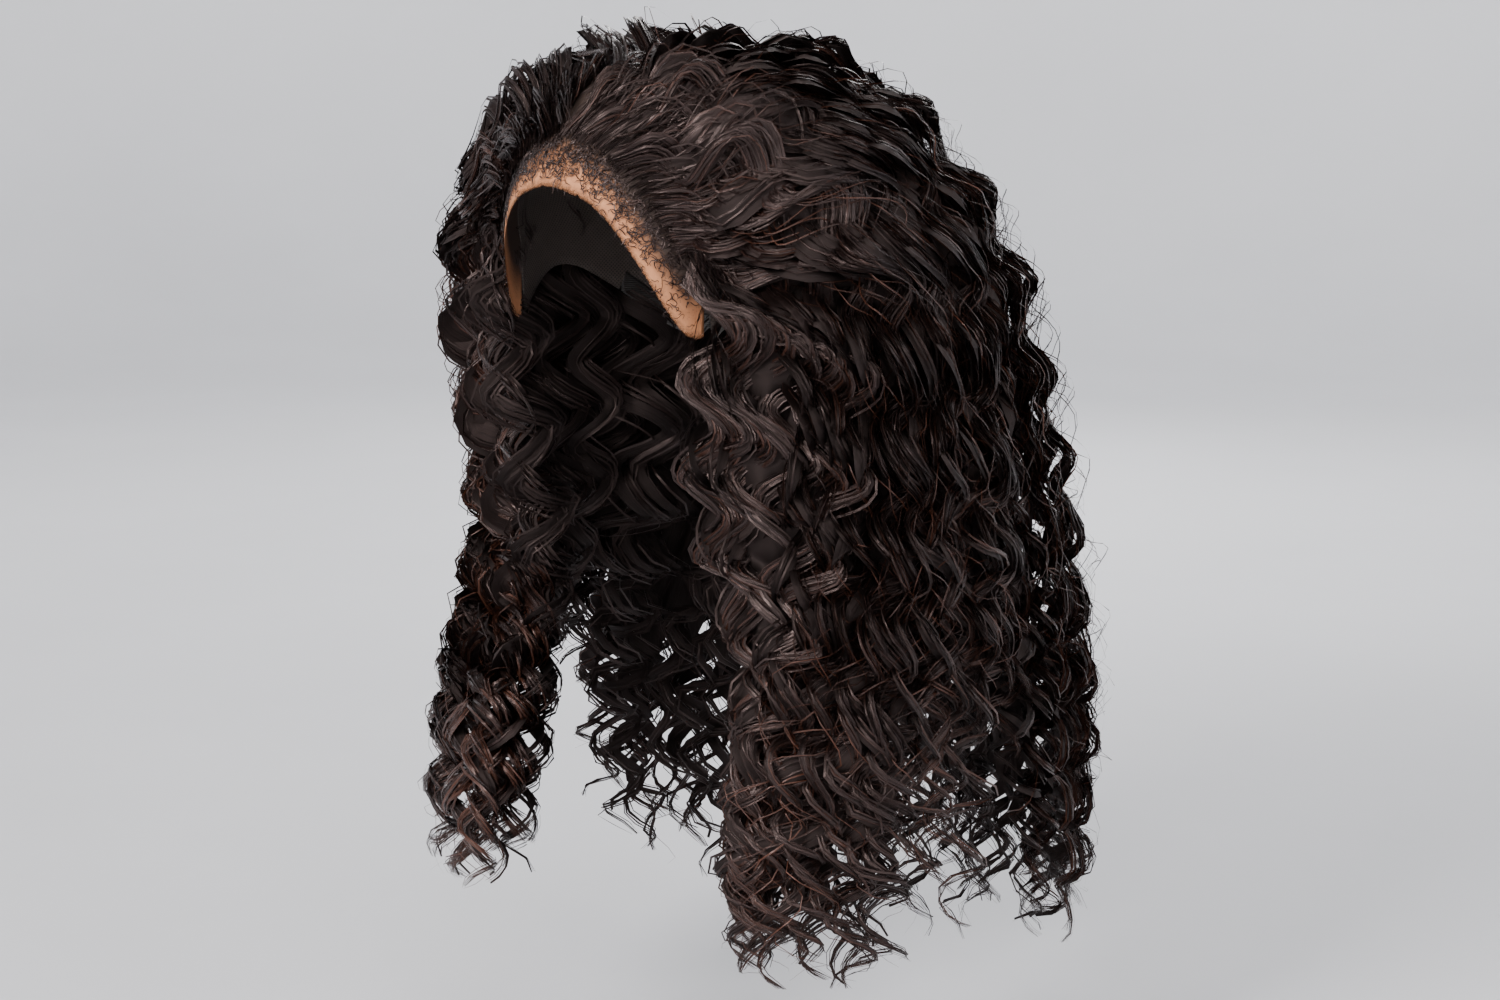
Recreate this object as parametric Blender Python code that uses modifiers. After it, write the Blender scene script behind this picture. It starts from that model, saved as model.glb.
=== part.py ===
"""Lace front wig: a cap of lace, stretch net and elastic under a curly mass of hair in locks.

Metres, +Z up. The wig faces -Y and the wearer's left is +X. The origin is the inside of
the crown, where the cap rests on the top of the head. Angles go round the head from the
front, through the wearer's left, to the back.
"""
import math

import bpy
import bmesh
from mathutils import Vector

# Head opening of the cap
HEAD_HALF_WIDTH = 0.078
HEAD_HALF_LENGTH = 0.098
HEAD_SET_BACK = 0.005
CROWN_DEPTH = 0.105
NAPE_TUCK = 0.016

# Cap pieces
CAP_WALL = 0.0012
LACE_WALL = 0.0010
SEAM_GAP = 0.0004
BAND_HEIGHT = 0.014
LACE_HALF_ANGLE = 66.0
BAND_HALF_ANGLE = 62.0
LACE_COLUMNS = 22
BAND_COLUMNS = 12
EAR_COLUMNS = 5

# Hair mass outside the cap
HAIR_SEAT = 0.0016
HAIR_CENTRE = 0.048
TOP_LIFT = 0.022
WIDEST_DROP = 0.150
TIP_DROP = 0.545
SIDE_COVER = 0.035
BACK_REACH = 0.232
FRONT_REACH = 0.148
QUIFF_REACH = 0.186
SHOULDER_HALF_WIDTH = 0.165
BACK_ROUNDNESS = 2.9
DOME_SLOPE = 1.22
HALF_WIDTH = SHOULDER_HALF_WIDTH + SIDE_COVER

# Locks and waves
FACE_HALF_ANGLE = 56.0
CROWN_POLAR = 34.0
FACE_LOCKS = 8
FALL_LOCKS = 26
DOME_ROWS = 9
FALL_ROWS = 27
CROWN_ROWS = 3
NODE_GAP = 0.0005
WAVE_LENGTH = 0.056
WAVE_SWAY = 0.007
WAVE_TURNS = 3
LOCK_RIDGE = 0.007
LOCK_VALLEY = 0.003
HAIRLINE_DEPTH = 0.0065

# Cap edge and panel seams: polar angle from the crown at each angle from the front
EDGE_COLUMNS = ("angle", "polar")
CAP_RIM = ((0, 66), (25, 72), (42, 90), (56, 112), (66, 118), (80, 101), (95, 98),
           (115, 108), (140, 124), (180, 130))
LACE_SEAM = ((0, 10), (30, 16), (50, 44), (66, 98))
HAIRLINE = ((0, 50), (20, 54), (36, 66), (48, 80), (56, 90))

# Hair mass below its widest level. drop runs from there to the tips. left, right, back,
# front_left and front_right are outer reaches, as shares of HALF_WIDTH, BACK_REACH and
# FRONT_REACH. The core columns are the hollow for head, neck and shoulders: core_open runs
# from 0 at the head's width to 1 at the shoulders, core_front and core_back are shares of
# the head's half length, and core_centre moves from the head's to the hair's centre. The
# edges are the front edges' angles.
LEVEL_COLUMNS = ("drop", "left", "right", "back", "front_left", "front_right", "core_open",
                 "core_front", "core_back", "core_centre", "edge_left", "edge_right")
LEVELS = (
    (0.00, 0.90, 0.88, 0.81, 0.68, 0.68, 0.00, 1.00, 1.00, 0.00, 56, 56),
    (0.12, 0.92, 0.87, 0.85, 0.68, 0.60, 0.00, 0.98, 1.00, 0.00, 53, 53),
    (0.25, 0.94, 0.84, 0.90, 0.68, 0.50, -0.12, 0.87, 0.95, 0.10, 49, 46),
    (0.37, 0.96, 0.81, 0.95, 0.72, 0.50, -0.04, 0.69, 0.93, 0.35, 45, 36),
    (0.48, 0.98, 0.83, 0.98, 0.84, 0.66, 0.25, 0.62, 0.98, 0.65, 39, 24),
    (0.60, 1.00, 0.88, 1.00, 0.97, 0.90, 0.80, 0.82, 1.06, 0.90, 33, 15),
    (0.75, 1.00, 0.90, 1.00, 1.00, 0.98, 1.00, 1.04, 1.11, 1.00, 32, 12),
    (0.90, 0.99, 0.89, 0.99, 0.98, 0.96, 1.00, 1.11, 1.11, 1.00, 34, 13),
    (1.00, 0.95, 0.84, 0.96, 0.94, 0.92, 0.98, 1.11, 1.13, 1.00, 36, 15),
)

# Hair below the cap by zones of locks, from the left front edge round the back. tip is
# where the locks end, as a share of the drop, and tongue how much of that hangs free.
ZONE_COLUMNS = ("name", "locks", "tip", "tongue", "slim_every")
ZONES = (
    ("hair_fall_left", 4, 0.92, 0.40, 0),
    ("hair_side_left", 4, 0.62, 0.16, 2),
    ("hair_back", 9, 1.00, 0.40, 0),
    ("hair_side_right", 4, 0.62, 0.16, 2),
    ("hair_fall_right", 5, 0.86, 0.36, 0),
)
SLIM_TIP_SHARE = 0.84
SLIM_WIDTH_SHARE = 0.34
SLIM_DEPTH_SHARE = 0.30
SLIM_TAPER_SHARE = 2.0
TIP_WIDTH_SHARE = 0.20
TIP_DEPTH_SHARE = 0.35
TIP_RIDGE_SHARE = 0.10
FREE_WIDTH_SHARE = 0.92
TIP_STAGGER_SHARE = 0.05


def between(rows, columns, key, value):
    """Read a table at a value of its first column, straight between its rows."""
    column = columns.index(key)
    for low, high in zip(rows, rows[1:]):
        if value <= high[0]:
            share = (value - low[0]) / (high[0] - low[0])
            return low[column] + max(share, 0.0) * (high[column] - low[column])
    return rows[-1][column]


def fold(angle):
    """Angle from the front on either side, 0 to 180."""
    turned = angle % 360.0
    return min(turned, 360.0 - turned)


def head_point(angle, polar, proud):
    """Point on the head form, pushed out by proud. Past 90 the form drops down to the nape."""
    around = math.radians(angle)
    tilt = math.radians(min(polar, 90.0))
    below = math.radians(max(polar - 90.0, 0.0))
    width = (HEAD_HALF_WIDTH + proud) * math.sin(tilt)
    length = (HEAD_HALF_LENGTH + proud) * math.sin(tilt)
    backward = max(-math.cos(around), 0.0)
    length -= NAPE_TUCK * backward * min(below, 1.0) ** 2
    height = (CROWN_DEPTH + proud) * math.cos(tilt) - CROWN_DEPTH - CROWN_DEPTH * below
    return Vector((width * math.sin(around), HEAD_SET_BACK - length * math.cos(around), height))


def material(name, colour, roughness):
    """Principled material for one piece."""
    made = bpy.data.materials.new(name)
    made.use_nodes = True
    shader = made.node_tree.nodes["Principled BSDF"]
    shader.inputs["Base Color"].default_value = (*colour, 1.0)
    shader.inputs["Roughness"].default_value = roughness
    shader.inputs["Metallic"].default_value = 0.0
    return made


def add_object(name, shape, surface, collection):
    """Turn a bmesh into an object of the wig's collection, with its faces out."""
    bmesh.ops.triangulate(shape, faces=shape.faces)
    bmesh.ops.recalc_face_normals(shape, faces=shape.faces)
    mesh = bpy.data.meshes.new(name)
    shape.to_mesh(mesh)
    shape.free()
    mesh.materials.append(surface)
    mesh.shade_smooth()
    mesh.set_sharp_from_angle(angle=math.radians(50))
    made = bpy.data.objects.new(name, mesh)
    collection.objects.link(made)
    return made


def cap_sheet(name, columns, rows, top, bottom, closed, wall, surface, collection):
    """Sheet on the head form between two edges, given a wall outwards."""
    shape = bmesh.new()
    grid = []
    for angle in columns:
        line = []
        for row in range(rows + 1):
            polar = top(angle) + (bottom(angle) - top(angle)) * row / rows
            line.append(shape.verts.new(head_point(angle, polar, 0.0)))
        grid.append(line)
    spans = list(zip(grid, grid[1:]))
    if closed:
        spans.append((grid[-1], grid[0]))
    for left, right in spans:
        for row in range(rows):
            shape.faces.new((left[row], left[row + 1], right[row + 1], right[row]))
    bmesh.ops.remove_doubles(shape, verts=shape.verts, dist=0.00001)
    bmesh.ops.recalc_face_normals(shape, faces=shape.faces)
    mesh = bpy.data.meshes.new(name)
    shape.to_mesh(mesh)
    shape.free()
    mesh.materials.append(surface)
    mesh.shade_smooth()
    made = bpy.data.objects.new(name, mesh)
    collection.objects.link(made)
    solid = made.modifiers.new("Wall", "SOLIDIFY")
    solid.thickness = wall
    solid.offset = 1.0
    return made


def spread(first, last, count):
    """Evenly spread values, both ends included."""
    return [first + (last - first) * index / count for index in range(count + 1)]


def degrees_along(length, radius):
    """Angle that a short length takes up at a radius."""
    return math.degrees(length / radius)


def rim(angle):
    return between(CAP_RIM, EDGE_COLUMNS, "polar", fold(angle))


def seam(angle):
    return between(LACE_SEAM, EDGE_COLUMNS, "polar", fold(angle))


def band_top(angle):
    return rim(angle) - degrees_along(BAND_HEIGHT, CROWN_DEPTH)


def crown_bottom(angle):
    """Lower edge of the net: the lace seam in front, the band behind, else the cap's rim."""
    gap = degrees_along(SEAM_GAP, CROWN_DEPTH)
    if fold(angle) <= LACE_HALF_ANGLE:
        return seam(angle) - gap
    if 180.0 - fold(angle) <= BAND_HALF_ANGLE:
        return band_top(angle) - gap
    return rim(angle)


def build_cap(collection):
    """Lace panel, net crown and nape band."""
    lace = material("lace", (0.52, 0.27, 0.14), 0.8)
    net = material("net", (0.035, 0.026, 0.022), 0.85)
    elastic = material("elastic", (0.02, 0.016, 0.014), 0.7)
    front = spread(-LACE_HALF_ANGLE, LACE_HALF_ANGLE, LACE_COLUMNS)
    cap_sheet("lace_front", front, 6, seam, rim, False, LACE_WALL, lace, collection)
    corner = degrees_along(SEAM_GAP, HEAD_HALF_WIDTH)
    band_start = 180.0 - BAND_HALF_ANGLE
    side = spread(LACE_HALF_ANGLE + corner, band_start - corner, EAR_COLUMNS)
    back = spread(band_start, 360.0 - band_start, BAND_COLUMNS)
    other = [360.0 - angle for angle in reversed(side)]
    cap_sheet("cap_crown", front + side + back + other, 7,
              lambda angle: 0.0, crown_bottom, True, CAP_WALL, net, collection)
    cap_sheet("nape_band", back, 1, band_top, rim, False, CAP_WALL, elastic, collection)


def ring_point(angle, centre, front, back, width, height):
    """Point on a plan oval with its own reach in front, behind and to the side."""
    sine = math.sin(math.radians(angle))
    cosine = math.cos(math.radians(angle))
    reach = front if cosine > 0.0 else back
    return Vector((width * sine, centre - reach * cosine, height))


def mass_point(angle, front, back, width, height):
    """Point on the outside of the hair: an oval in front, and squarer behind."""
    sine = math.sin(math.radians(angle))
    cosine = math.cos(math.radians(angle))
    if cosine > 0.0:
        return ring_point(angle, HAIR_CENTRE, front, back, width, height)
    power = BACK_ROUNDNESS
    reach = ((abs(sine) / width) ** power + (abs(cosine) / back) ** power) ** (-1.0 / power)
    return Vector((reach * sine, HAIR_CENTRE - reach * cosine, height))


def hair_pair(angle, flow):
    """Inner and outer points of the hair mass. Flow is 0 at the crown, 1 at the widest
    level and 2 at the longest tips."""
    seat = CAP_WALL + HAIR_SEAT
    left = angle % 360.0 < 180.0
    if flow <= 1.0:
        tilt = math.radians(90.0 * flow)
        ease = max(flow - 0.5, 0.0) / 0.5
        ease = ease * ease * (3.0 - 2.0 * ease)
        level = LEVELS[0]
        column = LEVEL_COLUMNS.index("front_left" if left else "front_right")
        front = QUIFF_REACH + ease * (FRONT_REACH * level[column] - QUIFF_REACH)
        width = HALF_WIDTH * level[LEVEL_COLUMNS.index("left" if left else "right")]
        back = BACK_REACH * level[LEVEL_COLUMNS.index("back")]
        height = (TOP_LIFT + WIDEST_DROP) * math.cos(tilt) - WIDEST_DROP
        full = math.sin(tilt) ** DOME_SLOPE
        outer = mass_point(angle, front * full, back * full, width * full, height)
        return head_point(angle, 90.0 * flow, seat), outer
    drop = flow - 1.0

    def level_at(key):
        return between(LEVELS, LEVEL_COLUMNS, key, drop)

    start = FACE_HALF_ANGLE
    base = angle % 360.0
    if left:
        share = (180.0 - base) / (180.0 - start)
        turned = 180.0 - share * (180.0 - level_at("edge_left"))
    else:
        share = (base - 180.0) / (180.0 - start)
        turned = 180.0 + share * (180.0 - level_at("edge_right"))
    width = HALF_WIDTH * level_at("left" if left else "right")
    front = FRONT_REACH * level_at("front_left" if left else "front_right")
    outer = mass_point(turned, front, BACK_REACH * level_at("back"), width,
                       -WIDEST_DROP - drop * (TIP_DROP - WIDEST_DROP))
    centre = HEAD_SET_BACK + level_at("core_centre") * (HAIR_CENTRE - HEAD_SET_BACK)
    core_width = HEAD_HALF_WIDTH + seat
    core_width += level_at("core_open") * (SHOULDER_HALF_WIDTH - core_width)
    core_length = HEAD_HALF_LENGTH + seat
    inner = ring_point(turned, centre, core_length * level_at("core_front"),
                       core_length * level_at("core_back"), core_width,
                       -CROWN_DEPTH - drop * (TIP_DROP - CROWN_DEPTH))
    return inner, outer


def flow_length(flow):
    """Length along the hair from the crown, for the waves."""
    dome = min(flow, 1.0) * math.radians(90.0) * WIDEST_DROP
    return dome + max(flow - 1.0, 0.0) * (TIP_DROP - WIDEST_DROP)


def wave_phase(angle, flow):
    turns = WAVE_TURNS * math.radians(angle)
    return 2.0 * math.pi * flow_length(flow) / WAVE_LENGTH + turns


def swayed(angle, flow):
    """Angle moved sideways by the wave, which grows below the widest level."""
    growth = min(max(flow - 1.0, 0.0) / 0.15, 1.0)
    sway = degrees_along(WAVE_SWAY, HALF_WIDTH) * growth
    return angle + sway * math.sin(wave_phase(angle, flow))


def lock_section(first, last, flow, width_share, thick_share, raise_share):
    """Points round one lock at one level: outer from first to last angle, then inner."""
    middle = (first + last) / 2.0
    half = (last - first) / 2.0 * width_share
    points = []
    for place, ridge in ((-1.0, -LOCK_VALLEY), (-0.45, LOCK_RIDGE), (0.45, LOCK_RIDGE),
                         (1.0, -LOCK_VALLEY)):
        angle = swayed(middle + half * place, flow)
        inner, outer = hair_pair(angle, flow)
        out = (outer - inner).normalized()
        beat = 1.0 + 0.5 * math.cos(wave_phase(middle, flow)) if ridge > 0.0 else 1.0
        depth = (outer - inner).length
        core = (outer + inner) / 2.0
        reach = depth * thick_share / 2.0
        points.append(core + out * (reach + ridge * raise_share * beat))
    for place in (1.0, -1.0):
        angle = swayed(middle + half * place, flow)
        inner, outer = hair_pair(angle, flow)
        out = (outer - inner).normalized()
        core = (outer + inner) / 2.0
        points.append(core - out * (outer - inner).length * thick_share / 2.0)
    return points


def zone_rows():
    """Flow values of the rows of the long hair, from the crown ring to the tips."""
    dome = [CROWN_POLAR / 90.0 + (1.0 - CROWN_POLAR / 90.0) * row / DOME_ROWS
            for row in range(DOME_ROWS)]
    return dome + [1.0 + row / FALL_ROWS for row in range(FALL_ROWS + 1)]


def lock_plan(zone, index, count):
    """Last row of a lock, the rows that hang free and how slim it hangs."""
    tip = zone[ZONE_COLUMNS.index("tip")]
    slim_every = zone[ZONE_COLUMNS.index("slim_every")]
    slim = bool(slim_every) and index % slim_every == 1
    if slim:
        tip = SLIM_TIP_SHARE
    else:
        tip -= TIP_STAGGER_SHARE * (index % 3) / 2.0
    last = DOME_ROWS + round(tip * FALL_ROWS)
    return last, slim


def tongue_shape(free, slim):
    """Width, depth and ridge of a lock, as shares, from where it hangs free to its tip."""
    if free == 0.0:
        return 1.0, 1.0, 1.0
    width = FREE_WIDTH_SHARE + (TIP_WIDTH_SHARE - FREE_WIDTH_SHARE) * free ** 3
    depth = 1.0 + (TIP_DEPTH_SHARE - 1.0) * free ** 2
    if slim:
        narrowing = FREE_WIDTH_SHARE - SLIM_TAPER_SHARE * free
        width = min(width, max(SLIM_WIDTH_SHARE, narrowing))
        depth = max(1.0 - SLIM_TAPER_SHARE * free, SLIM_DEPTH_SHARE)
    return width, depth, 1.0 + (TIP_RIDGE_SHARE - 1.0) * free


def build_zone(zone, first_angle, last_angle, surface, collection):
    """Locks side by side, fused above and hanging free below."""
    count = zone[ZONE_COLUMNS.index("locks")]
    flows = zone_rows()
    step = (last_angle - first_angle) / count
    plans = [lock_plan(zone, index, count) for index in range(count)]
    regular = min(last for last, slim in plans)
    free_rows = round(zone[ZONE_COLUMNS.index("tongue")] * FALL_ROWS)
    split = regular - free_rows
    shape = bmesh.new()
    edges = {}

    def shared(boundary, row, part, point):
        key = (boundary, row, part)
        if key not in edges:
            edges[key] = shape.verts.new(point)
        return edges[key]

    gap = degrees_along(NODE_GAP, HALF_WIDTH / 2.0)
    for index, (last, slim) in enumerate(plans):
        start = first_angle + step * index + (gap if index == 0 else 0.0)
        end = first_angle + step * (index + 1) - (gap if index == count - 1 else 0.0)
        rings = []
        for row in range(last + 1):
            free = max(row - split, 0) / (last - split)
            width, thick, ridge = tongue_shape(free, slim)
            points = lock_section(start, end, flows[row], width, thick, ridge)
            if row <= split:
                ring = [shared(index, row, "out", points[0]),
                        shape.verts.new(points[1]), shape.verts.new(points[2]),
                        shared(index + 1, row, "out", points[3]),
                        shared(index + 1, row, "in", points[4]),
                        shared(index, row, "in", points[5])]
            else:
                ring = [shape.verts.new(point) for point in points]
            rings.append(ring)
        for row, (upper, lower) in enumerate(zip(rings, rings[1:])):
            sides = [0, 1, 2, 4]
            if row >= split or index == count - 1:
                sides.append(3)
            if row >= split or index == 0:
                sides.append(5)
            for side in sides:
                after = (side + 1) % 6
                shape.faces.new((upper[side], upper[after], lower[after], lower[side]))
        shape.faces.new(rings[0])
        shape.faces.new(list(reversed(rings[-1])))
    add_object(zone[0], shape, surface, collection)


def build_hairline(surface, collection):
    """Hair swept back from the hairline: locks from the crown ring down to the lace."""
    shape = bmesh.new()
    gap = degrees_along(NODE_GAP, HEAD_HALF_WIDTH / 2.0)
    angles = spread(-FACE_HALF_ANGLE + gap, FACE_HALF_ANGLE - gap, FACE_LOCKS)
    grid = []
    for index, (start, end) in enumerate(zip(angles, angles[1:])):
        places = [start, start + (end - start) * 0.28, start + (end - start) * 0.72]
        if index == FACE_LOCKS - 1:
            places.append(end)
        for place_index, angle in enumerate(places):
            ridge = LOCK_RIDGE if place_index in (1, 2) else -LOCK_VALLEY
            grid.append((angle, ridge, place_index in (0, 3)))
    columns = []
    for angle, ridge, valley in grid:
        column = []
        aside = fold(angle) / (FACE_HALF_ANGLE - gap)
        end_polar = between(HAIRLINE, EDGE_COLUMNS, "polar", aside * FACE_HALF_ANGLE)
        for row in range(DOME_ROWS + 1):
            share = row / DOME_ROWS
            flow = (CROWN_POLAR + (end_polar - CROWN_POLAR) * share) / 90.0
            turned = swayed(angle, flow)
            inner, outer = hair_pair(turned, flow)
            out = (outer - inner).normalized()
            slope = aside ** 4 + (1.0 - aside ** 4) * math.sqrt(1.0 - share ** 2)
            depth = HAIRLINE_DEPTH + ((outer - inner).length - HAIRLINE_DEPTH) * slope
            depth += ridge * (slope if ridge > 0.0 else 1.0)
            column.append((shape.verts.new(inner + out * depth),
                           shape.verts.new(inner) if valley else None))
        columns.append(column)
    for left, right in zip(columns, columns[1:]):
        for row in range(DOME_ROWS):
            shape.faces.new((left[row][0], right[row][0], right[row + 1][0], left[row + 1][0]))
    seats = [column for column in columns if column[0][1]]
    for left, right in zip(seats, seats[1:]):
        for row in range(DOME_ROWS):
            shape.faces.new((left[row][1], left[row + 1][1], right[row + 1][1], right[row][1]))
    for column in (columns[0], columns[-1]):
        for upper, lower in zip(column, column[1:]):
            shape.faces.new((upper[0], lower[0], lower[1], upper[1]))
    for index in range(FACE_LOCKS):
        lock = columns[index * 3:index * 3 + 4]
        for row in (0, DOME_ROWS):
            outer_edge = [column[row][0] for column in lock]
            shape.faces.new(outer_edge + [lock[-1][row][1], lock[0][row][1]])
    add_object("hair_hairline", shape, surface, collection)


def build_crown(surface, collection):
    """Hair on top: locks that run out from the crown to the ring where the others start."""
    shape = bmesh.new()
    gap = degrees_along(NODE_GAP * 2.0, CROWN_DEPTH) / 90.0
    angles = spread(-FACE_HALF_ANGLE, FACE_HALF_ANGLE, FACE_LOCKS)[:-1]
    angles += spread(FACE_HALF_ANGLE, 360.0 - FACE_HALF_ANGLE, FALL_LOCKS)[:-1]
    places = []
    for start, end in zip(angles, angles[1:] + [angles[0] + 360.0]):
        places.append((start, -LOCK_VALLEY))
        places.append(((start + end) / 2.0, LOCK_RIDGE))
    inner_top, outer_top = hair_pair(0.0, 0.0)
    tip = shape.verts.new(outer_top)
    seat = shape.verts.new(inner_top)
    rows = [(CROWN_POLAR / 90.0 - gap) * (row + 1) / CROWN_ROWS for row in range(CROWN_ROWS)]
    columns = []
    for angle, ridge in places:
        column = []
        for flow in rows:
            inner, outer = hair_pair(angle, flow)
            out = (outer - inner).normalized()
            share = flow / rows[-1]
            column.append((shape.verts.new(outer + out * ridge * share),
                           shape.verts.new(inner) if ridge < 0.0 else None))
        columns.append(column)
    around = list(zip(columns, columns[1:] + columns[:1]))
    for left, right in around:
        shape.faces.new((tip, left[0][0], right[0][0]))
        for upper in range(CROWN_ROWS - 1):
            shape.faces.new((left[upper][0], left[upper + 1][0],
                             right[upper + 1][0], right[upper][0]))
    for index in range(0, len(columns), 2):
        left = columns[index]
        middle = columns[index + 1]
        right = columns[(index + 2) % len(columns)]
        shape.faces.new((seat, right[0][1], left[0][1]))
        for upper in range(CROWN_ROWS - 1):
            shape.faces.new((left[upper][1], right[upper][1],
                             right[upper + 1][1], left[upper + 1][1]))
        shape.faces.new((left[-1][0], middle[-1][0], right[-1][0], right[-1][1], left[-1][1]))
    add_object("hair_crown", shape, surface, collection)


def build_hair(collection):
    """Crown, hairline and the zones of long hair."""
    hair = material("hair", (0.022, 0.013, 0.011), 0.42)
    build_crown(hair, collection)
    build_hairline(hair, collection)
    total = sum(zone[ZONE_COLUMNS.index("locks")] for zone in ZONES)
    step = (360.0 - 2.0 * FACE_HALF_ANGLE) / total
    angle = FACE_HALF_ANGLE
    for zone in ZONES:
        end = angle + step * zone[ZONE_COLUMNS.index("locks")]
        build_zone(zone, angle, end, hair, collection)
        angle = end


def build_wig():
    """Empty the scene and build every piece."""
    for old in list(bpy.data.objects):
        bpy.data.objects.remove(old, do_unlink=True)
    collection = bpy.data.collections.new("lace_front_wig")
    bpy.context.scene.collection.children.link(collection)
    build_cap(collection)
    build_hair(collection)


build_wig()
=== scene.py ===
import math

import bpy
import numpy as np
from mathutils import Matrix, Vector


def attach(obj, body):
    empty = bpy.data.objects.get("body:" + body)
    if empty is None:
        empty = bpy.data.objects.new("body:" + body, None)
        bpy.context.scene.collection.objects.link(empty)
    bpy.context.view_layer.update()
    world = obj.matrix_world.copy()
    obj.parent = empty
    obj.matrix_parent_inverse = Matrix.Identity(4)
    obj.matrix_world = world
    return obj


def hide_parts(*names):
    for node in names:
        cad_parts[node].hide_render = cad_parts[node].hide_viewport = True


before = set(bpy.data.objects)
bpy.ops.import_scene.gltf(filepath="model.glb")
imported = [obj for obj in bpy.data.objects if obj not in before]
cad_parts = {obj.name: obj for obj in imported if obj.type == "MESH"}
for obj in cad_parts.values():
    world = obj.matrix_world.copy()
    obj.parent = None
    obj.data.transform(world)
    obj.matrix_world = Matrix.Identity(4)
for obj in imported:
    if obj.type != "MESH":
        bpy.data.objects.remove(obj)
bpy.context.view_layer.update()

# Camera. It looks a little down on the wig's left front, from about 1.9 m, so that the
# whole wig is in the picture with room round it.
CAMERA_PLACE = (1.2115, -1.3527, 0.0963)
CAMERA_LOOK = (-0.6310, 0.7520, -0.1908)
CAMERA_LENS = 74.5

camera_data = bpy.data.cameras.new("camera")
camera_data.lens = CAMERA_LENS
camera_data.sensor_width = 36.0
camera_data.clip_end = 50.0
camera = bpy.data.objects.new("camera", camera_data)
camera.location = CAMERA_PLACE
camera.rotation_euler = Vector(CAMERA_LOOK).to_track_quat("-Z", "Y").to_euler()
bpy.context.collection.objects.link(camera)
bpy.context.scene.camera = camera


# Floor and backdrop. One pale matt sweep of painted board, round like a bowl, with a faint
# cloudiness in its paint, painted lighter up the wall as painted light on it. It lies below
# the wig and stands clear of it on every side.
FLOOR_LEVEL = -0.640
SWEEP_FLAT = 3.2
SWEEP_BEND = 1.4
SWEEP_HEIGHT = 4.5
SWEEP_TURN = 5.0
PAINT_LOW = ((0.50, 0.505, 0.53, 1), (0.62, 0.625, 0.65, 1))
PAINTED_LIGHT_WALL = ((0.80, 0.805, 0.83, 1), (0.92, 0.925, 0.95, 1))
PAINTED_LIGHT_WALL_FROM = 1.2


def add_mesh(name, points, faces, surface, cloth_map=None, tone=None):
    """Smooth mesh object from arrays. The map gives each point its place in metres."""
    mesh = bpy.data.meshes.new(name)
    mesh.from_pydata(np.asarray(points).reshape(-1, 3).tolist(), [],
                     np.asarray(faces).tolist())
    corners = np.empty(len(mesh.loops), dtype=np.int32)
    mesh.loops.foreach_get("vertex_index", corners)
    if cloth_map is not None:
        layer = mesh.uv_layers.new(name="lay")
        places = np.asarray(cloth_map).reshape(-1, 2)[corners]
        layer.uv.foreach_set("vector", places.astype(np.float32).ravel())
    if tone is not None:
        layer = mesh.attributes.new("tone", "FLOAT", "POINT")
        layer.data.foreach_set("value", np.asarray(tone, dtype=np.float32).ravel())
    mesh.materials.append(surface)
    mesh.shade_smooth()
    made = bpy.data.objects.new(name, mesh)
    bpy.context.collection.objects.link(made)
    return made


def grid_faces(rows, columns, closed=False):
    """Four-cornered faces over a grid of points, joined round if closed."""
    row, column = np.meshgrid(np.arange(rows - 1),
                              np.arange(columns if closed else columns - 1), indexing="ij")
    after = (column + 1) % columns
    return np.stack([row * columns + column, (row + 1) * columns + column,
                     (row + 1) * columns + after, row * columns + after],
                    axis=-1).reshape(-1, 4)


def new_finish(name, roughness):
    """Material with its shader, and a shorthand that adds and links a node."""
    finish = bpy.data.materials.new(name)
    finish.use_nodes = True
    nodes = finish.node_tree.nodes
    links = finish.node_tree.links
    shader = nodes["Principled BSDF"]
    shader.inputs["Roughness"].default_value = roughness

    def add(kind, settings=None, **inputs):
        node = nodes.new(kind)
        for key, value in (settings or {}).items():
            setattr(node, key, value)
        for key, value in inputs.items():
            socket = node.inputs[key.replace("_", " ")]
            if isinstance(value, bpy.types.NodeSocket):
                links.new(value, socket)
            else:
                socket.default_value = value
        return node

    return finish, shader, links, add


def mix_colours(add, factor, low, high, blend="MIX"):
    """Colour between two, by a factor that may be a number or a socket."""
    node = add("ShaderNodeMix", {"data_type": "RGBA", "blend_type": blend})
    for index, value in ((0, factor), (6, low), (7, high)):
        if isinstance(value, bpy.types.NodeSocket):
            node.id_data.links.new(value, node.inputs[index])
        else:
            node.inputs[index].default_value = value
    return node.outputs[2]


board, shader, links, add = new_finish("painted_board", 0.9)
place = add("ShaderNodeTexCoord").outputs["Object"]
cloud = add("ShaderNodeTexNoise", Vector=place, Scale=1.3, Detail=5.0, Roughness=0.6)
height = add("ShaderNodeSeparateXYZ", Vector=place).outputs["Z"]
# Painted light: the paint goes from the floor's darker grey to a lighter grey up the wall.
high = add("ShaderNodeMapRange", Value=height, From_Min=FLOOR_LEVEL, From_Max=PAINTED_LIGHT_WALL_FROM)
low_paint = mix_colours(add, cloud.outputs["Fac"], *PAINT_LOW)
painted_light_wall_paint = mix_colours(add, cloud.outputs["Fac"], *PAINTED_LIGHT_WALL)
colour = mix_colours(add, high.outputs[0], low_paint, painted_light_wall_paint)
links.new(colour, shader.inputs["Base Color"])

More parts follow.
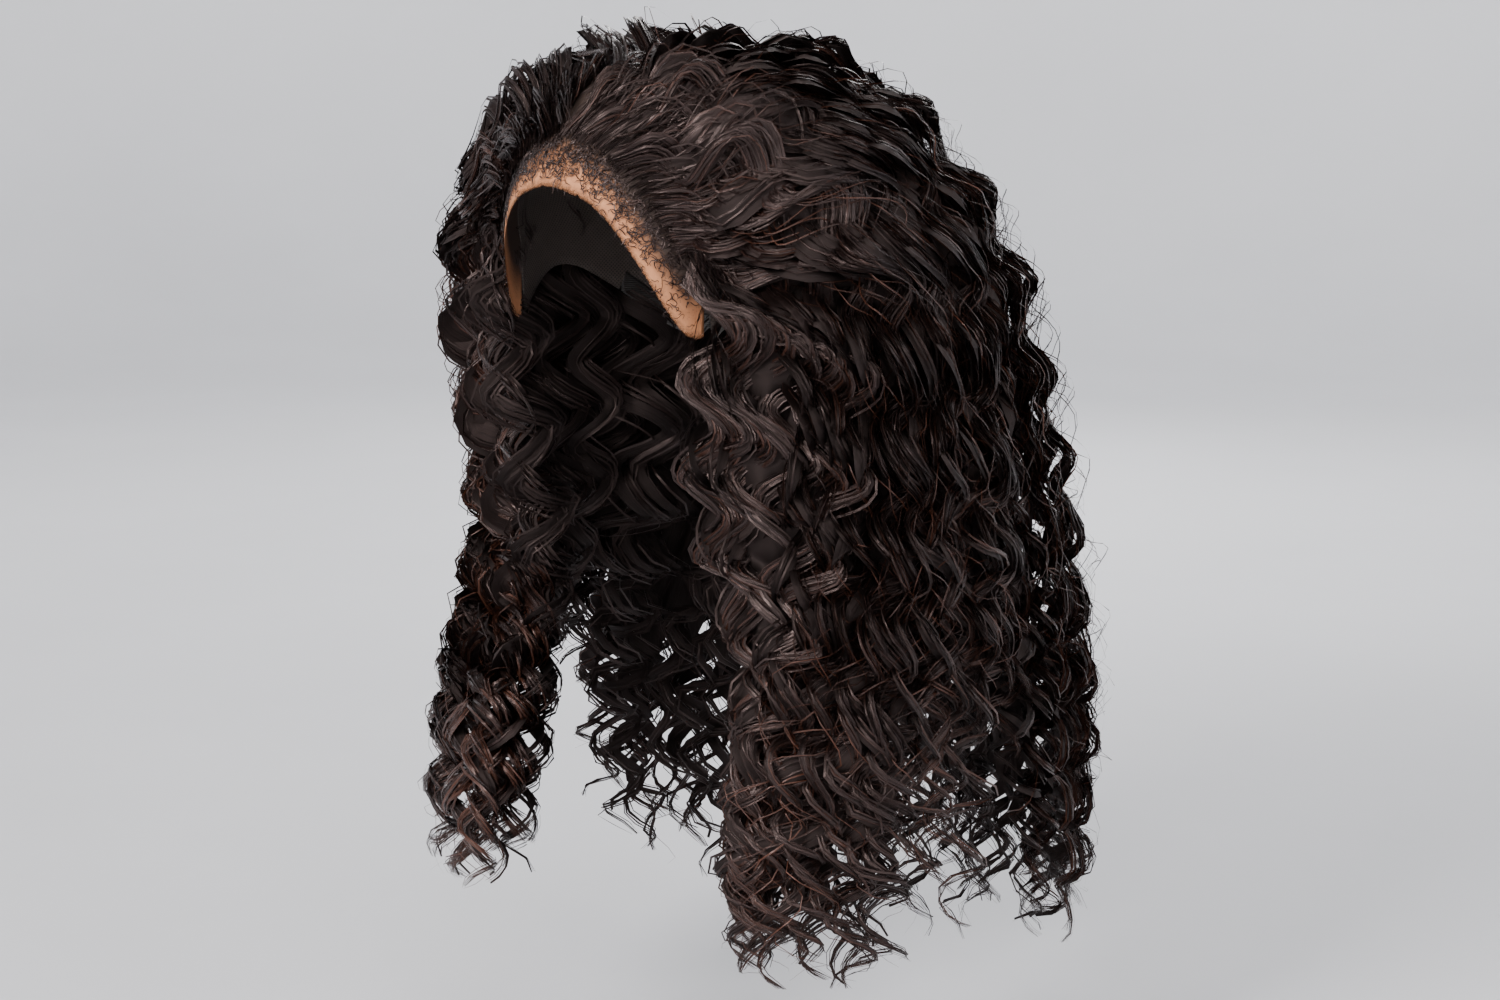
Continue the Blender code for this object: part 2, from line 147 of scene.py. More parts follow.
turns = np.radians(np.arange(0, 360, SWEEP_TURN))
bend = np.radians(np.linspace(0, 90, 10))
reach = np.concatenate([[0.0002, 1.0, 2.0], SWEEP_FLAT + SWEEP_BEND * np.sin(bend),
                        [SWEEP_FLAT + SWEEP_BEND]])
lift = np.concatenate([[0, 0, 0], SWEEP_BEND * (1 - np.cos(bend)), [SWEEP_HEIGHT]])
sweep = np.stack([reach[:, None] * np.cos(turns), reach[:, None] * np.sin(turns),
                  FLOOR_LEVEL + lift[:, None] + 0 * turns], axis=-1)
backdrop = add_mesh("backdrop", sweep, grid_faces(len(reach), len(turns), True), board)


# Studio light. A soft box high on the left of the picture, weaker ones from the right, the
# front, the top and behind, four that wash the backdrop, and an even grey room.
ROOM_GREY = (0.82, 0.82, 0.85, 1)
ROOM_STRENGTH = 0.12
WALL_LIGHT_HEIGHT = 2.6


def soft_box(name, place, size, power, tint, towards=(0.0, 0.0, -0.25)):
    """Flat lamp of a width and height in metres, aimed at the wig's middle or elsewhere."""
    data = bpy.data.lights.new(name, "AREA")
    data.shape = "RECTANGLE"
    data.size = size[0]
    data.size_y = size[1]
    data.energy = power
    data.color = tint
    lamp = bpy.data.objects.new(name, data)
    lamp.location = place
    aim = Vector(towards) - Vector(place)
    lamp.rotation_euler = aim.to_track_quat("-Z", "Y").to_euler()
    bpy.context.collection.objects.link(lamp)


soft_box("key_light", (0.10, -2.30, 1.00), (0.8, 0.8), 98, (1.0, 0.97, 0.95))
soft_box("fill_light", (2.30, 0.10, 0.60), (1.0, 1.2), 24, (1.0, 0.98, 0.97))
soft_box("front_light", (1.45, -1.95, 0.35), (0.8, 0.8), 14, (1.0, 0.98, 0.97))
soft_box("top_light", (0.80, -0.80, 1.90), (1.0, 1.0), 26, (1.0, 0.98, 0.96))
soft_box("edge_light", (-1.20, 1.90, 0.70), (1.0, 1.4), 26, (1.0, 0.99, 0.98))
for name, x, y, power in (("wall_light_1", -0.6, 1.7, 110), ("wall_light_2", 1.7, 0.9, 30),
                          ("wall_light_3", -1.7, -0.6, 60), ("wall_light_4", 0.8, -1.8, 20)):
    soft_box(name, (x, y, WALL_LIGHT_HEIGHT), (2.0, 1.0), power, (1.0, 1.0, 1.0),
             (3.0 * x, 3.0 * y, -0.2))

room = bpy.data.worlds.new("room")
room.use_nodes = True
room.node_tree.nodes["Background"].inputs["Color"].default_value = ROOM_GREY
room.node_tree.nodes["Background"].inputs["Strength"].default_value = ROOM_STRENGTH
bpy.context.scene.world = room


# Cap crown. A close cap of soft stretch net that carries the hair, cut away round the
# ears. Its front edge is seamed to the lace and its back edge to the elastic.
CAP_HALF_WIDTH = 0.078
CAP_HALF_LENGTH = 0.098
CAP_SET_BACK = 0.005
CROWN_DEPTH = 0.105
NAPE_TUCK = 0.016
CAP_WALL = 0.0012
SEAM_GAP = 0.0004
BAND_HEIGHT = 0.014
LACE_HALF_ANGLE = 66.0
BAND_HALF_ANGLE = 62.0
CAP_RIM = ((0, 66), (25, 72), (42, 90), (56, 112), (66, 118), (80, 101), (95, 98),
           (115, 108), (140, 124), (180, 130))
LACE_SEAM = ((0, 10), (30, 16), (50, 44), (66, 98))
CAP_COLUMNS = 120
CAP_ROWS = 34
CAP_TOP_POLAR = 0.4
CLOTH_RADIUS = 0.09
EDGE_SMOOTHING = 8.0
NET_THREADS = 190.0
NET_BLACK = (0.004, 0.003, 0.003, 1)
NET_THREAD = (0.050, 0.036, 0.030, 1)


def cap_form(angle, polar, proud):
    """Points on the inner face of the cap, pushed out by proud. Angle is from the middle of
    the front and polar down from the top, in degrees. Past 90 it drops to the nape."""
    around = np.radians(angle)
    tilt = np.radians(np.minimum(polar, 90.0))
    below = np.radians(np.maximum(polar - 90.0, 0.0))
    width = (CAP_HALF_WIDTH + proud) * np.sin(tilt)
    backward = np.maximum(-np.cos(around), 0.0)
    length = (CAP_HALF_LENGTH + proud) * np.sin(tilt)
    length = length - NAPE_TUCK * backward * np.minimum(below, 1.0) ** 2
    height = (CROWN_DEPTH + proud) * np.cos(tilt) - CROWN_DEPTH - CROWN_DEPTH * below
    return np.stack(np.broadcast_arrays(width * np.sin(around),
                                        CAP_SET_BACK - length * np.cos(around), height), -1)


def fold(angle):
    """Angle from the middle of the front on either side, 0 to 180."""
    turned = np.asarray(angle) % 360.0
    return np.minimum(turned, 360.0 - turned)


def edge_polar(edge, angle):
    """Polar angle of an edge of the cap, at an angle round it."""
    near = np.asarray(angle, float)[..., None] + np.linspace(-EDGE_SMOOTHING, EDGE_SMOOTHING, 9)
    polars = np.interp(fold(near), [row[0] for row in edge], [row[1] for row in edge])
    return polars.mean(axis=-1)


def crown_bottom(angle):
    """Lower edge of the net: the lace seam in front, the band behind, else the rim."""
    gap = math.degrees(SEAM_GAP / CROWN_DEPTH)
    band = edge_polar(CAP_RIM, angle) - math.degrees(BAND_HEIGHT / CROWN_DEPTH)
    low = np.where(fold(angle) >= 180.0 - BAND_HALF_ANGLE, band - gap,
                   edge_polar(CAP_RIM, angle))
    return np.where(fold(angle) <= LACE_HALF_ANGLE, edge_polar(LACE_SEAM, angle) - gap, low)


def double_wall(name, inside, outside, surface, cloth_map, closed, tone=None):
    """Cloth with both faces and turned edges, from two grids of points."""
    rows, columns = inside.shape[:2]
    loop = np.concatenate([inside, outside[::-1]], axis=0)
    both = np.concatenate([cloth_map, cloth_map[::-1]], axis=0)
    column = np.arange(columns if closed else columns - 1)
    after = (column + 1) % columns
    last = (2 * rows - 1) * columns
    faces = [grid_faces(2 * rows, columns, closed),
             np.stack([column, after, last + after, last + column], axis=-1)]
    if not closed:
        row = np.arange(rows - 1)
        end = np.stack([row, row + 1, 2 * rows - 2 - row, 2 * rows - 1 - row], axis=-1) * columns
        faces += [end[:, ::-1], end + columns - 1]
    if tone is not None:
        tone = np.concatenate([tone, tone[::-1]], axis=0)
    return add_mesh(name, loop, np.concatenate(faces), surface, both, tone)


net_finish, shader, links, add = new_finish("stretch_net", 0.85)
lay = add("ShaderNodeUVMap", {"uv_map": "lay"}).outputs["UV"]
turned = add("ShaderNodeMapping", Vector=lay, Rotation=(0, 0, math.radians(45)))
across = add("ShaderNodeTexWave", {"wave_profile": "SIN"}, Vector=turned.outputs[0],
             Scale=NET_THREADS, Distortion=1.2, Detail=1.0, Detail_Scale=2.0)
down = add("ShaderNodeTexWave", {"bands_direction": "Y"}, Vector=turned.outputs[0],
           Scale=NET_THREADS, Distortion=1.2, Detail=1.0, Detail_Scale=2.0)
mesh_height = add("ShaderNodeMath", {"operation": "MAXIMUM"})
links.new(across.outputs["Fac"], mesh_height.inputs[0])
links.new(down.outputs["Fac"], mesh_height.inputs[1])
colour = mix_colours(add, mesh_height.outputs[0], NET_BLACK, NET_THREAD)
links.new(colour, shader.inputs["Base Color"])
relief = add("ShaderNodeBump", Height=mesh_height.outputs[0], Strength=0.5, Distance=0.0005)
links.new(relief.outputs[0], shader.inputs["Normal"])

angles = np.arange(CAP_COLUMNS) * 360.0 / CAP_COLUMNS
shares = np.linspace(0.0, 1.0, CAP_ROWS)[:, None]
polars = np.maximum(crown_bottom(angles) * shares, CAP_TOP_POLAR)
inside = cap_form(angles + 0 * polars, polars, 0.0)
outside = cap_form(angles + 0 * polars, polars, CAP_WALL)
cloth = np.stack([np.radians(angles) * CLOTH_RADIUS
                  * np.sin(np.radians(np.minimum(polars, 90.0))),
                  np.radians(polars) * CROWN_DEPTH], axis=-1)
net_cap = double_wall("net_cap", inside, outside, net_finish, cloth, True)
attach(net_cap, "root")
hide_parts("cap_crown")


# Lace panel. Fine skin-toned lace from ear to ear along the hairline, hand knotted with
# hair. It is seamed to the net behind, and its front edge is left raw and thin.
LACE_WALL = 0.0010
LACE_COLUMNS = 110
LACE_ROWS = 22
LACE_BARE = 17.0
LACE_THINNED = 0.75
LACE_CELLS = 1150.0
LACE_KNOTS = 620.0
LACE_TAN = ((0.30, 0.105, 0.042, 1), (0.60, 0.27, 0.125, 1))
LACE_HAIR_SHADOW = (0.014, 0.008, 0.006, 1)
KNOT_BROWN = (0.016, 0.009, 0.007, 1)

lace_finish, shader, links, add = new_finish("skin_lace", 0.72)
lay = add("ShaderNodeUVMap", {"uv_map": "lay"}).outputs["UV"]
inward = add("ShaderNodeAttribute", {"attribute_name": "tone"}).outputs["Fac"]
cells = add("ShaderNodeTexVoronoi", {"feature": "DISTANCE_TO_EDGE"}, Vector=lay,
            Scale=LACE_CELLS, Randomness=0.35)
thread = add("ShaderNodeMapRange", Value=cells.outputs["Distance"], From_Min=0.03,
             From_Max=0.18, To_Min=1.0, To_Max=0.0)
patch = add("ShaderNodeTexNoise", Vector=lay, Scale=85.0, Detail=5.0, Roughness=0.65)
tan = mix_colours(add, patch.outputs["Fac"], *LACE_TAN)
knots = add("ShaderNodeTexVoronoi", Vector=lay, Scale=LACE_KNOTS, Randomness=0.85)
knot = add("ShaderNodeMapRange", Value=knots.outputs["Distance"], From_Min=0.16,
           From_Max=0.30, To_Min=1.0, To_Max=0.0)
set_close = add("ShaderNodeMapRange", Value=inward, From_Min=0.16, From_Max=0.90)
knotted = add("ShaderNodeMath", {"operation": "MULTIPLY"})
links.new(knot.outputs[0], knotted.inputs[0])
links.new(set_close.outputs[0], knotted.inputs[1])
# Painted shadow: the lace darkens to near black brown from its bare edge in under the hair, as
# the hair's shadow on it.
shadow = add("ShaderNodeMapRange", Value=inward, From_Min=0.34, From_Max=1.0, To_Max=0.97)
colour = mix_colours(add, shadow.outputs[0], tan, LACE_HAIR_SHADOW)
colour = mix_colours(add, knotted.outputs[0], colour, KNOT_BROWN)
links.new(colour, shader.inputs["Base Color"])
relief = add("ShaderNodeBump", Height=thread.outputs[0], Strength=0.4, Distance=0.0002)
links.new(relief.outputs[0], shader.inputs["Normal"])
ragged = add("ShaderNodeTexNoise", Vector=lay, Scale=420.0, Detail=3.0)
frayed = add("ShaderNodeMath", {"operation": "MULTIPLY_ADD"})
links.new(ragged.outputs["Fac"], frayed.inputs[0])
frayed.inputs[1].default_value = -0.16
links.new(inward, frayed.inputs[2])
whole = add("ShaderNodeMapRange", Value=frayed.outputs[0], From_Min=-0.085, From_Max=0.10)
links.new(whole.outputs[0], shader.inputs["Alpha"])

angles = np.linspace(-LACE_HALF_ANGLE, LACE_HALF_ANGLE, LACE_COLUMNS)
shares = np.linspace(0.0, 1.0, LACE_ROWS)[:, None]
top = edge_polar(LACE_SEAM, angles)
bottom = edge_polar(CAP_RIM, angles)
polars = top + (bottom - top) * shares
inside = cap_form(angles + 0 * polars, polars, 0.0)
outside = cap_form(angles + 0 * polars, polars, LACE_WALL * (1.0 - LACE_THINNED * shares ** 6))
cloth = np.stack([np.radians(angles) * CLOTH_RADIUS + 0 * polars,
                  np.radians(polars) * CROWN_DEPTH], axis=-1)
inward = np.clip((bottom - polars) / LACE_BARE, 0.0, 1.0)
lace_panel = double_wall("lace_panel", inside, outside, lace_finish, cloth, False, inward)
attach(lace_panel, "root")
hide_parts("lace_front")


# Nape band. A soft ribbed elastic across the nape, overlocked to the net above it, that
# draws the cap in and keeps it from riding up.
BAND_COLUMNS = 90
BAND_ROWS = 8
BAND_RIBS = 260.0
BAND_CORDS = 420.0
ELASTIC_BLACK = ((0.006, 0.005, 0.005, 1), (0.035, 0.028, 0.026, 1))

elastic_finish, shader, links, add = new_finish("ribbed_elastic", 0.6)
lay = add("ShaderNodeUVMap", {"uv_map": "lay"}).outputs["UV"]
ribs = add("ShaderNodeTexWave", {"bands_direction": "Y"}, Vector=lay, Scale=BAND_RIBS)
cross = add("ShaderNodeTexWave", {"bands_direction": "X"}, Vector=lay, Scale=BAND_CORDS)
colour = mix_colours(add, ribs.outputs["Fac"], *ELASTIC_BLACK)
colour = mix_colours(add, 0.5, colour, cross.outputs["Color"], "MULTIPLY")
links.new(colour, shader.inputs["Base Color"])
relief = add("ShaderNodeBump", Height=ribs.outputs["Fac"], Strength=0.6, Distance=0.0006)
links.new(relief.outputs[0], shader.inputs["Normal"])

angles = np.linspace(180.0 - BAND_HALF_ANGLE, 180.0 + BAND_HALF_ANGLE, BAND_COLUMNS)
shares = np.linspace(0.0, 1.0, BAND_ROWS)[:, None]
low = edge_polar(CAP_RIM, angles)
high = low - math.degrees(BAND_HEIGHT / CROWN_DEPTH)
polars = high + (low - high) * shares
inside = cap_form(angles + 0 * polars, polars, 0.0)
outside = cap_form(angles + 0 * polars, polars, CAP_WALL)
cloth = np.stack([np.radians(angles) * CLOTH_RADIUS + 0 * polars,
                  np.radians(polars) * CROWN_DEPTH], axis=-1)
nape_elastic = double_wall("nape_elastic", inside, outside, elastic_finish, cloth, False)
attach(nape_elastic, "root")
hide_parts("nape_band")


# Undergrowth. The short dense hair close to the cap and in the middle of each fall. It is
# sewn to the net in close rows, carries the long locks and shuts out the light between them.
# It is coloured near black, as painted shade of the hair deep in the mass.
HAIR_SEAT = 0.0016
HAIR_CENTRE = 0.048
TOP_LIFT = 0.022
WIDEST_DROP = 0.150
TIP_DROP = 0.545
BACK_REACH = 0.232
FRONT_REACH = 0.148
QUIFF_REACH = 0.186
HOLLOW_HALF_WIDTH = 0.165
HALF_WIDTH = 0.200
BACK_ROUNDNESS = 2.9
DOME_SLOPE = 1.22
FRONT_HALF_ANGLE = 56.0
HAIR_LEVELS = {
    "drop": (0.00, 0.12, 0.25, 0.37, 0.48, 0.60, 0.75, 0.90, 1.00),
    "left": (0.90, 0.92, 0.94, 0.96, 0.98, 1.00, 1.00, 0.99, 0.95),
    "right": (0.88, 0.87, 0.84, 0.81, 0.83, 0.88, 0.90, 0.89, 0.84),
    "back": (0.81, 0.85, 0.90, 0.95, 0.98, 1.00, 1.00, 0.99, 0.96),
    "front_left": (0.68, 0.68, 0.68, 0.72, 0.84, 0.97, 1.00, 0.98, 0.94),
    "front_right": (0.68, 0.60, 0.50, 0.50, 0.66, 0.90, 0.98, 0.96, 0.92),
    "core_open": (0.00, 0.00, -0.12, -0.04, 0.25, 0.80, 1.00, 1.00, 0.98),
    "core_front": (1.00, 0.98, 0.87, 0.69, 0.62, 0.82, 1.04, 1.11, 1.11),
    "core_back": (1.00, 1.00, 0.95, 0.93, 0.98, 1.06, 1.11, 1.11, 1.13),
    "core_centre": (0.00, 0.00, 0.10, 0.35, 0.65, 0.90, 1.00, 1.00, 1.00),
    "edge_left": (56, 53, 49, 45, 39, 33, 32, 34, 36),
    "edge_right": (56, 53, 46, 36, 24, 15, 12, 13, 15),
}
FALL_TIPS = ((56, 0.88), (84, 0.93), (93, 0.60), (114, 0.57), (124, 0.90), (138, 0.98),
             (180, 1.00), (220, 0.97), (234, 0.60), (254, 0.60), (264, 0.86), (304, 0.84))
HAIR_BLACK = (0.0022, 0.0016, 0.0016, 1)
HAIR_BROWN = (0.0100, 0.0056, 0.0050, 1)
HAIR_AUBURN_LIT_THROUGH = (0.052, 0.019, 0.011, 1)
HAIR_BROWN_TONE = 0.60
HAIR_STREAKS = (1400.0, 12.0, 1.0)
HAIR_SHEEN = (1.0, 0.76, 0.72, 1)
HAIR_GLOSSY = 0.27
HAIR_DULL = 0.85
UNDER_COLUMNS = 110
UNDER_ROWS = 60
UNDER_INSET = 4.0
UNDER_ROOTS = 0.30
UNDER_LENGTH = 0.68
UNDER_RAGGED = 0.09
UNDER_WAVE = 0.047
UNDER_RIDGES = 34.0
UNDER_SHORTER = 0.45
UNDER_SHORTER_FROM = (268.0, 290.0)


def hair_form(angle, flow):
    """Inner and outer face of the mass of hair. Flow is 0 at the crown, 1 at the widest
    level and 2 at the longest tips."""
    angle, flow = np.broadcast_arrays(np.asarray(angle, float) % 360.0, np.asarray(flow, float))
    seat = CAP_WALL + HAIR_SEAT
    left = angle < 180.0
    drop = np.maximum(flow - 1.0, 0.0)
    dome = np.minimum(flow, 1.0)
    level = {key: np.interp(drop, HAIR_LEVELS["drop"], row)
             for key, row in HAIR_LEVELS.items()}
    spread = 180.0 - FRONT_HALF_ANGLE
    turned = np.where(left, 180.0 - (180.0 - angle) / spread * (180.0 - level["edge_left"]),
                      180.0 + (angle - 180.0) / spread * (180.0 - level["edge_right"]))
    turned = np.where(flow <= 1.0, angle, turned)
    sine = np.sin(np.radians(turned))
    cosine = np.cos(np.radians(turned))
    ease = np.clip(dome - 0.5, 0.0, 0.5) / 0.5
    ease = ease * ease * (3.0 - 2.0 * ease)
    full = np.sin(np.radians(90.0 * dome)) ** DOME_SLOPE
    front = FRONT_REACH * np.where(left, level["front_left"], level["front_right"])
    front = (QUIFF_REACH + ease * (front - QUIFF_REACH)) * full
    width = HALF_WIDTH * np.where(left, level["left"], level["right"]) * full
    back = BACK_REACH * level["back"] * full
    width = np.maximum(width, 1e-5)
    back = np.maximum(back, 1e-5)
    power = BACK_ROUNDNESS
    squarer = ((np.abs(sine) / width) ** power
               + (np.abs(cosine) / back) ** power) ** (-1.0 / power)
    height = (TOP_LIFT + WIDEST_DROP) * np.cos(np.radians(90.0 * dome)) - WIDEST_DROP
    height = height - drop * (TIP_DROP - WIDEST_DROP)
    outer = np.stack([np.where(cosine > 0.0, width, squarer) * sine,
                      HAIR_CENTRE - np.where(cosine > 0.0, front, squarer) * cosine,
                      height], axis=-1)
    centre = CAP_SET_BACK + level["core_centre"] * (HAIR_CENTRE - CAP_SET_BACK)
    core_width = CAP_HALF_WIDTH + seat
    core_width = core_width + level["core_open"] * (HOLLOW_HALF_WIDTH - core_width)
    core_length = CAP_HALF_LENGTH + seat
    core_length = core_length * np.where(cosine > 0.0, level["core_front"], level["core_back"])
    core = np.stack([core_width * sine, centre - core_length * cosine,
                     -CROWN_DEPTH - drop * (TIP_DROP - CROWN_DEPTH)], axis=-1)
    inner = np.where((flow <= 1.0)[..., None], cap_form(angle, 90.0 * dome, seat), core)
    return inner, outer


hair_finish, shader, links, add = new_finish("dark_hair", HAIR_GLOSSY)
tone = add("ShaderNodeAttribute", {"attribute_name": "tone"}).outputs["Fac"]
lay = add("ShaderNodeUVMap", {"uv_map": "lay"}).outputs["UV"]
streaked = add("ShaderNodeMapping", Vector=lay, Scale=HAIR_STREAKS)
streaks = add("ShaderNodeTexNoise", Vector=streaked.outputs[0], Scale=1.0, Detail=4.0,
              Roughness=0.62)
# Tones run from near black through brown to auburn; the auburn end serves partly as the hair's
# own warm tone and partly as painted light shining through thin hair.
ramp = add("ShaderNodeValToRGB", Fac=tone)
ramp.color_ramp.elements[0].color = HAIR_BLACK
ramp.color_ramp.elements[1].color = HAIR_AUBURN_LIT_THROUGH
middle = ramp.color_ramp.elements.new(HAIR_BROWN_TONE)
middle.color = HAIR_BROWN
streak_share = add("ShaderNodeMapRange", Value=streaks.outputs["Fac"], From_Min=0.36,
                   From_Max=0.66, To_Min=0.04, To_Max=2.0)
colour = mix_colours(add, 1.0, ramp.outputs[0], streak_share.outputs[0], "MULTIPLY")
links.new(colour, shader.inputs["Base Color"])
relief = add("ShaderNodeBump", Height=streaks.outputs["Fac"], Strength=0.8, Distance=0.0009)
links.new(relief.outputs[0], shader.inputs["Normal"])
shader.inputs["Specular IOR Level"].default_value = 0.44
shader.inputs["Anisotropic"].default_value = 0.7
lie = add("ShaderNodeTangent", {"direction_type": "UV_MAP", "uv_map": "lay"})
links.new(lie.outputs[0], shader.inputs["Tangent"])
shader.inputs["Specular Tint"].default_value = HAIR_SHEEN
dull = add("ShaderNodeMapRange", Value=tone, From_Min=0.20, From_Max=0.46,
           To_Min=HAIR_DULL, To_Max=HAIR_GLOSSY)
links.new(dull.outputs[0], shader.inputs["Roughness"])


def smooth_step(value, low, high):
    """Share from 0 at low to 1 at high, eased at both ends."""
    share = np.clip((value - low) / (high - low), 0.0, 1.0)
    return share * share * (3.0 - 2.0 * share)


def tip_at(angle):
    """How far the hair reaches below the widest level, at an angle round the wig. At 1 it
    ends level with the longest tips."""
    return np.interp(angle, [row[0] for row in FALL_TIPS], [row[1] for row in FALL_TIPS])


inset = FRONT_HALF_ANGLE + UNDER_INSET
under_angles = np.linspace(inset, 360.0 - inset, UNDER_COLUMNS)
under_flows = np.linspace(0.0, 1.0, UNDER_ROWS)[:, None]
tips = 1.0 + UNDER_LENGTH * tip_at(under_angles)
tips = tips - UNDER_SHORTER * smooth_step(under_angles, *UNDER_SHORTER_FROM)
tips = tips + np.random.default_rng(9).uniform(-UNDER_RAGGED, UNDER_RAGGED, UNDER_COLUMNS)
flows = UNDER_ROOTS + (tips - UNDER_ROOTS) * under_flows
inner, outer = hair_form(under_angles + 0 * flows, flows)
along = np.cumsum(np.linalg.norm(np.diff(outer, axis=0, prepend=outer[:1]), axis=-1), axis=0)
waves = np.sin(2 * np.pi * along / UNDER_WAVE + 11.0 * np.sin(np.radians(3.0 * under_angles)))
ridge = np.sin(np.radians(under_angles) * UNDER_RIDGES + 1.3 * waves)
pinch = smooth_step(tips - flows, 0.0, 0.14)
deep = 0.54 + (0.14 + 0.08 * ridge + 0.05 * waves) * pinch
shallow = 0.52 + (-0.10 + 0.04 * ridge + 0.03 * waves) * pinch
front_side = inner + (outer - inner) * deep[..., None]
back_side = inner + (outer - inner) * shallow[..., None]
cloth = np.stack([np.radians(under_angles) * 0.17 + 0 * along, along], axis=-1)
# Painted shade: the undergrowth takes a tone near the ramp's black end, lighter on its raised
# ridges and darker between them.
under_shade_tone = 0.08 + 0.10 * ridge
undergrowth = double_wall("undergrowth", back_side, front_side, hair_finish, cloth, False,
                          under_shade_tone)
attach(undergrowth, "root")


# Long locks. Bundles of deep-waved hair, knotted to the lace and sewn to the net. They are
# drawn back off the hairline and over the crown, then hang in ringlets: a fall on either side
# of the front opening, shorter ones beside it and the longest behind.
LOCK_SAMPLES = 122
HAIR_WIDTH = 0.0012
LOOSE_HAIR_WIDTH = 0.0007
HAIRLINE = ((0, 50), (20, 54), (36, 66), (48, 80), (56, 90))
HAIRLINE_END = 54.0
HAIRLINE_SHARE = 0.38
ROOT_SCATTER = (-0.07, 0.09)
ROOTS_REACH_BACK = 0.92
DRAWN_BACK = (0.25, 1.0)
DRAWN_PULL = (0.13, 0.29)
TURN_DOWN = (0.12, 0.46)
DOME_STEPS = 70
FALL_STEPS = 110
LINE_SMOOTHING = 8
LOCK_STRAY = 3.5
DEPTH_WANDER = 0.05
FALL_DEPTH_WANDER = 0.10
FLAT_SPOT = {"angle": 118.0, "spread": 42.0, "flow": 0.72, "reach": 0.30, "depth": 0.17}
WAVE_LENGTH_TOP = 0.062
WAVE_LENGTH_LOW = 0.041
WAVE_HEIGHT_TOP = 0.0170
WAVE_HEIGHT_LOW = 0.0106
WAVE_DEPTH_TOP = 0.26
WAVE_DEPTH_LOW = 0.74
WAVE_START = 0.055
WAVE_SCATTER = 0.014
WAVE_HEIGHT_SPREAD = (0.75, 1.25)
RINGLET_SCATTER = 0.8
BEND_LIFT = 0.10
USUAL_TURN_SHARE = 0.65
BODY_ARCH = 0.24
BODY_TILT = 0.50
STRAND_ARCH = 0.52
STRAND_TILT = 0.55


def slow_wander(random, rows, samples, turns):
    """Smooth random lines between about -1 and 1, one for each row."""
    travel = np.linspace(0.0, 1.0, samples)
    line = np.zeros((rows, samples))
    for share in (0.45, 1.0, 2.1):
        beat = turns * share * random.uniform(0.75, 1.3, (rows, 1))
        line += np.sin(2 * np.pi * (beat * travel + random.random((rows, 1)))) / (0.8 + share)
    return 0.6 * line


def unit(vectors):
    """The same vectors at length 1."""
    return vectors / np.maximum(np.linalg.norm(vectors, axis=-1, keepdims=True), 1e-9)


def square_to(vectors, lines):
    """The part of each vector that stands square to its line, at length 1."""
    along = np.sum(vectors * lines, axis=-1, keepdims=True)
    return unit(vectors - along * lines)


